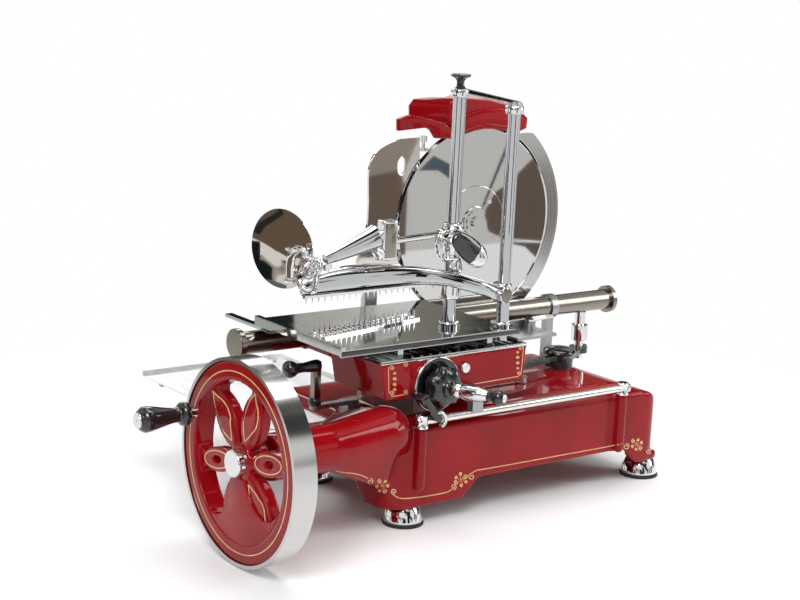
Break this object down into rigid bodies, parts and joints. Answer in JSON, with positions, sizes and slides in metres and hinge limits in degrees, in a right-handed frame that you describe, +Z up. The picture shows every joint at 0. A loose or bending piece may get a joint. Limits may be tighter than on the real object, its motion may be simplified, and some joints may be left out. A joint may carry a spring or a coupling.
{
  "type": "hand crank meat slicer",
  "caption": "Flywheel meat slicer with a hand crank, round blade, sliding carriage, spiked meat table and press on four bell feet.",
  "frame": {"origin": "centre of the front left foot where it stands on the surface", "axes": "+X along the base from the flywheel to the right end, +Y from the front to the back, +Z up"},
  "size_m": [0.989, 0.657, 0.665],
  "materials": {
    "red_enamel": "gloss",
    "chrome": "mirror polish",
    "blade_steel": "polished",
    "satin_steel": "satin",
    "black_plastic": "gloss",
    "black_metal": "satin",
    "rubber": "matt",
    "bronze": "satin",
    "grey_metal": "satin",
    "stone": "rough grit"
  },
  "bodies": {
    "frame": {"base_casting": "red_enamel", "feet": "chrome", "foot_pads": "rubber", "rail_posts": "chrome", "front_rail": "chrome", "slice_tray": "chrome", "tray_bracket": "satin_steel", "slide_blocks": "grey_metal", "shaft_bushes": "bronze", "blade_bracket": "red_enamel", "chain_cover": "red_enamel", "blade_bush": "bronze", "guard_ring": "chrome", "sharpener_housing": "red_enamel", "sharpening_stones": "stone", "gauge_guide": "red_enamel", "lever_bracket": "grey_metal", "drive_chain": "satin_steel"},
    "flywheel": {"wheel_casting": "red_enamel", "wheel_rim": "chrome", "hub_cap": "red_enamel", "main_shaft": "satin_steel", "handle_pin": "chrome"},
    "grip": {"crank_grip": "black_plastic"},
    "lay_gears": {"lay_shaft": "satin_steel"},
    "cross_gears": {"cross_shaft": "satin_steel"},
    "crank": {"crank_shaft": "satin_steel"},
    "cutter": {"blade": "blade_steel", "blade_hub": "blade_steel", "blade_shaft": "satin_steel"},
    "carriage": {"carriage_box": "red_enamel", "box_top_plate": "chrome", "slide_tube": "satin_steel", "tube_caps": "black_plastic", "drive_post": "chrome", "drive_arm": "black_metal", "rail_shoe": "black_metal", "feed_ring": "black_plastic", "side_bracket": "grey_metal"},
    "connecting_rod": {"con_rod": "black_metal"},
    "feed_pawl": {"feed_pawl": "black_metal"},
    "feed_knob": {"feed_knob": "black_plastic", "feed_screw": "chrome"},
    "feed_handle": {"feed_handle": "chrome"},
    "table": {"meat_table": "chrome", "spike_plate": "chrome", "press_columns": "chrome", "column_cap": "black_plastic"},
    "press": {"press_wing": "chrome", "press_comb": "chrome", "press_clamp": "black_plastic", "pusher_rod": "chrome"},
    "press_lock": {"press_lock": "chrome"},
    "pusher_arm": {"pusher_arm": "chrome"},
    "hand_guard": {"hand_guard": "chrome"},
    "gauge": {"gauge_plate": "chrome", "gauge_slide": "chrome"},
    "thickness_lever": {"thickness_lever": "chrome"},
    "stone_knob": {"stone_knob": "chrome"},
    "table_latch": {"table_latch": "chrome"}
  },
  "joints": [
    {"name": "wheel_spin", "type": "hinge", "parent": "frame", "child": "flywheel", "pos_m": [0, -0.027, 0.148], "axis": [1, 0, 0], "continuous": true},
    {"name": "grip_spin", "type": "hinge", "parent": "flywheel", "child": "grip", "pos_m": [-0.33, 0.08952, 0.19041], "axis": [1, 0, 0], "continuous": true},
    {"name": "lay_spin", "type": "hinge", "parent": "frame", "child": "lay_gears", "pos_m": [0, 0.0061, 0.1221], "axis": [1, 0, 0], "continuous": true},
    {"name": "cross_spin", "type": "hinge", "parent": "frame", "child": "cross_gears", "pos_m": [0.297, 0.095, 0.1221], "axis": [0, 1, 0], "continuous": true},
    {"name": "crank_spin", "type": "hinge", "parent": "frame", "child": "crank", "pos_m": [0.297, 0.095, 0.15], "axis": [0, 0, 1], "continuous": true},
    {"name": "blade_spin", "type": "hinge", "parent": "frame", "child": "cutter", "pos_m": [0.297, 0.24, 0.402], "axis": [0, 1, 0], "continuous": true},
    {"name": "carriage_slide", "type": "slide", "parent": "frame", "child": "carriage", "axis": [1, 0, 0], "range_m": [0, 0.19]},
    {"name": "rod_pivot", "type": "hinge", "parent": "carriage", "child": "connecting_rod", "pos_m": [0.424, 0.139, 0.178], "axis": [0, 0, 1], "range_deg": [-24, 27]},
    {"name": "pawl_pivot", "type": "hinge", "parent": "carriage", "child": "feed_pawl", "pos_m": [-0.004, -0.03, 0.203], "axis": [0, 1, 0], "range_deg": [-6, 0]},
    {"name": "table_slide", "type": "slide", "parent": "carriage", "child": "table", "axis": [0, 1, 0], "range_m": [-0.1, 0]},
    {"name": "feed_turn", "type": "hinge", "parent": "carriage", "child": "feed_knob", "pos_m": [0.044, -0.03, 0.212], "axis": [0, 1, 0], "range_deg": [-1801, 0]},
    {"name": "handle_fold", "type": "hinge", "parent": "feed_knob", "child": "feed_handle", "pos_m": [0.044, -0.046, 0.212], "axis": [1, 0, 0], "range_deg": [0, 60]},
    {"name": "press_slide", "type": "slide", "parent": "table", "child": "press", "axis": [0, 0, 1], "range_m": [-0.032, 0.18]},
    {"name": "lock_turn", "type": "hinge", "parent": "press", "child": "press_lock", "pos_m": [0.105, 0.02, 0.415], "axis": [0, 1, 0], "range_deg": [-40, 5]},
    {"name": "arm_pivot", "type": "hinge", "parent": "press", "child": "pusher_arm", "pos_m": [-0.01, 0.03, 0.43], "axis": [0, 1, 0], "range_deg": [-15, 25]},
    {"name": "guard_pivot", "type": "hinge", "parent": "pusher_arm", "child": "hand_guard", "pos_m": [-0.14, 0.03, 0.398], "axis": [0, 1, 0], "range_deg": [-20, 30]},
    {"name": "gauge_slide", "type": "slide", "parent": "frame", "child": "gauge", "axis": [0, 1, 0], "range_m": [0, 0.014]},
    {"name": "lever_turn", "type": "hinge", "parent": "frame", "child": "thickness_lever", "pos_m": [-0.091, 0.11, 0.2], "axis": [0, 0, 1], "range_deg": [0, 41]},
    {"name": "stone_set", "type": "slide", "parent": "frame", "child": "stone_knob", "axis": [0, 0, 1], "range_m": [-0.004, 0]},
    {"name": "latch_turn", "type": "hinge", "parent": "carriage", "child": "table_latch", "pos_m": [0.27, 0.044, 0.27], "axis": [0, 0, 1], "range_deg": [-60, 60]}
  ],
  "couplings": [
    {"joint": "lay_spin", "follows": "wheel_spin", "ratio": -1},
    {"joint": "cross_spin", "follows": "wheel_spin", "ratio": -1},
    {"joint": "crank_spin", "follows": "wheel_spin", "ratio": -1},
    {"joint": "blade_spin", "follows": "wheel_spin", "ratio": -1},
    {"joint": "feed_turn", "follows": "table_slide", "rad_per_m": 314.16},
    {"joint": "lever_turn", "follows": "gauge_slide", "rad_per_m": 49.87}
  ]
}
